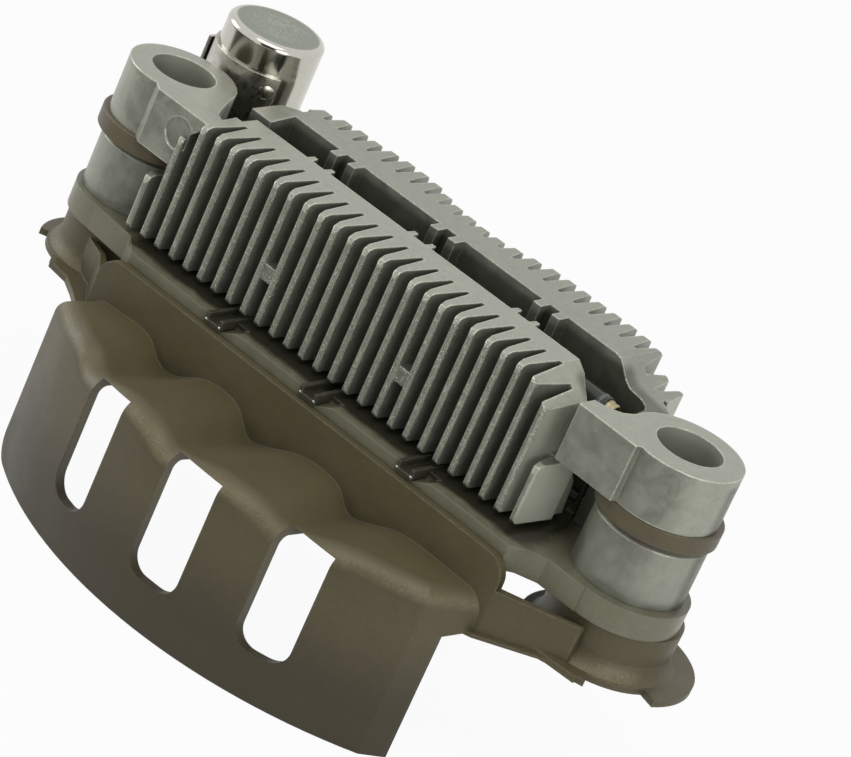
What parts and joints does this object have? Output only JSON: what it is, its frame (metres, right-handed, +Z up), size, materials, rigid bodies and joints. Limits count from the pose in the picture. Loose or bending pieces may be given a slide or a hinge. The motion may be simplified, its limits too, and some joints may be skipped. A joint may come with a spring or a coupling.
{
  "type": "alternator rectifier",
  "caption": "Vehicle alternator rectifier: two finned heat sinks on a terminal board, with a windowed air shroud and a suppression capacitor.",
  "frame": {"origin": "midway between the two mounting bores, in the plane of the earthed ears' seats", "axes": "+X along the heat sinks towards the end without the capacitor, +Y towards the positive heat sink, +Z up the bores, out of the seats"},
  "size_m": [0.1471, 0.0702, 0.0745],
  "materials": {
    "casting": "die cast, fine grained, satin",
    "shroud": "moulded, satin",
    "board": "moulded, satin",
    "bush": "moulded, satin",
    "tinplate": "bright tinned",
    "seal": "resin fill",
    "steel": "zinc plated",
    "conductor": "tinned copper, smooth",
    "diode": "moulded resin",
    "glass_diode": "glossy resin"
  },
  "bodies": {
    "root": {"air_shroud": "shroud", "board_screw_1": "steel", "board_screw_2": "steel", "board_screw_3": "steel", "board_screw_4": "steel", "capacitor_can": "tinplate", "capacitor_eyelet": "steel", "capacitor_pin": "steel", "capacitor_rivet": "steel", "capacitor_seal": "seal", "capacitor_strap": "tinplate", "exciter_bus": "conductor", "exciter_diode_1": "glass_diode", "exciter_diode_2": "glass_diode", "exciter_diode_3": "glass_diode", "insulating_bush_left": "bush", "insulating_bush_right": "bush", "negative_diode_1": "diode", "negative_diode_2": "diode", "negative_diode_3": "diode", "negative_diode_4": "diode", "negative_diode_5": "diode", "negative_diode_6": "diode", "negative_heat_sink": "casting", "phase_terminal_1": "conductor", "phase_terminal_2": "conductor", "phase_terminal_3": "conductor", "positive_diode_1": "diode", "positive_diode_2": "diode", "positive_diode_3": "diode", "positive_diode_4": "diode", "positive_diode_5": "diode", "positive_diode_6": "diode", "positive_heat_sink": "casting", "terminal_board": "board"}
  },
  "joints": []
}
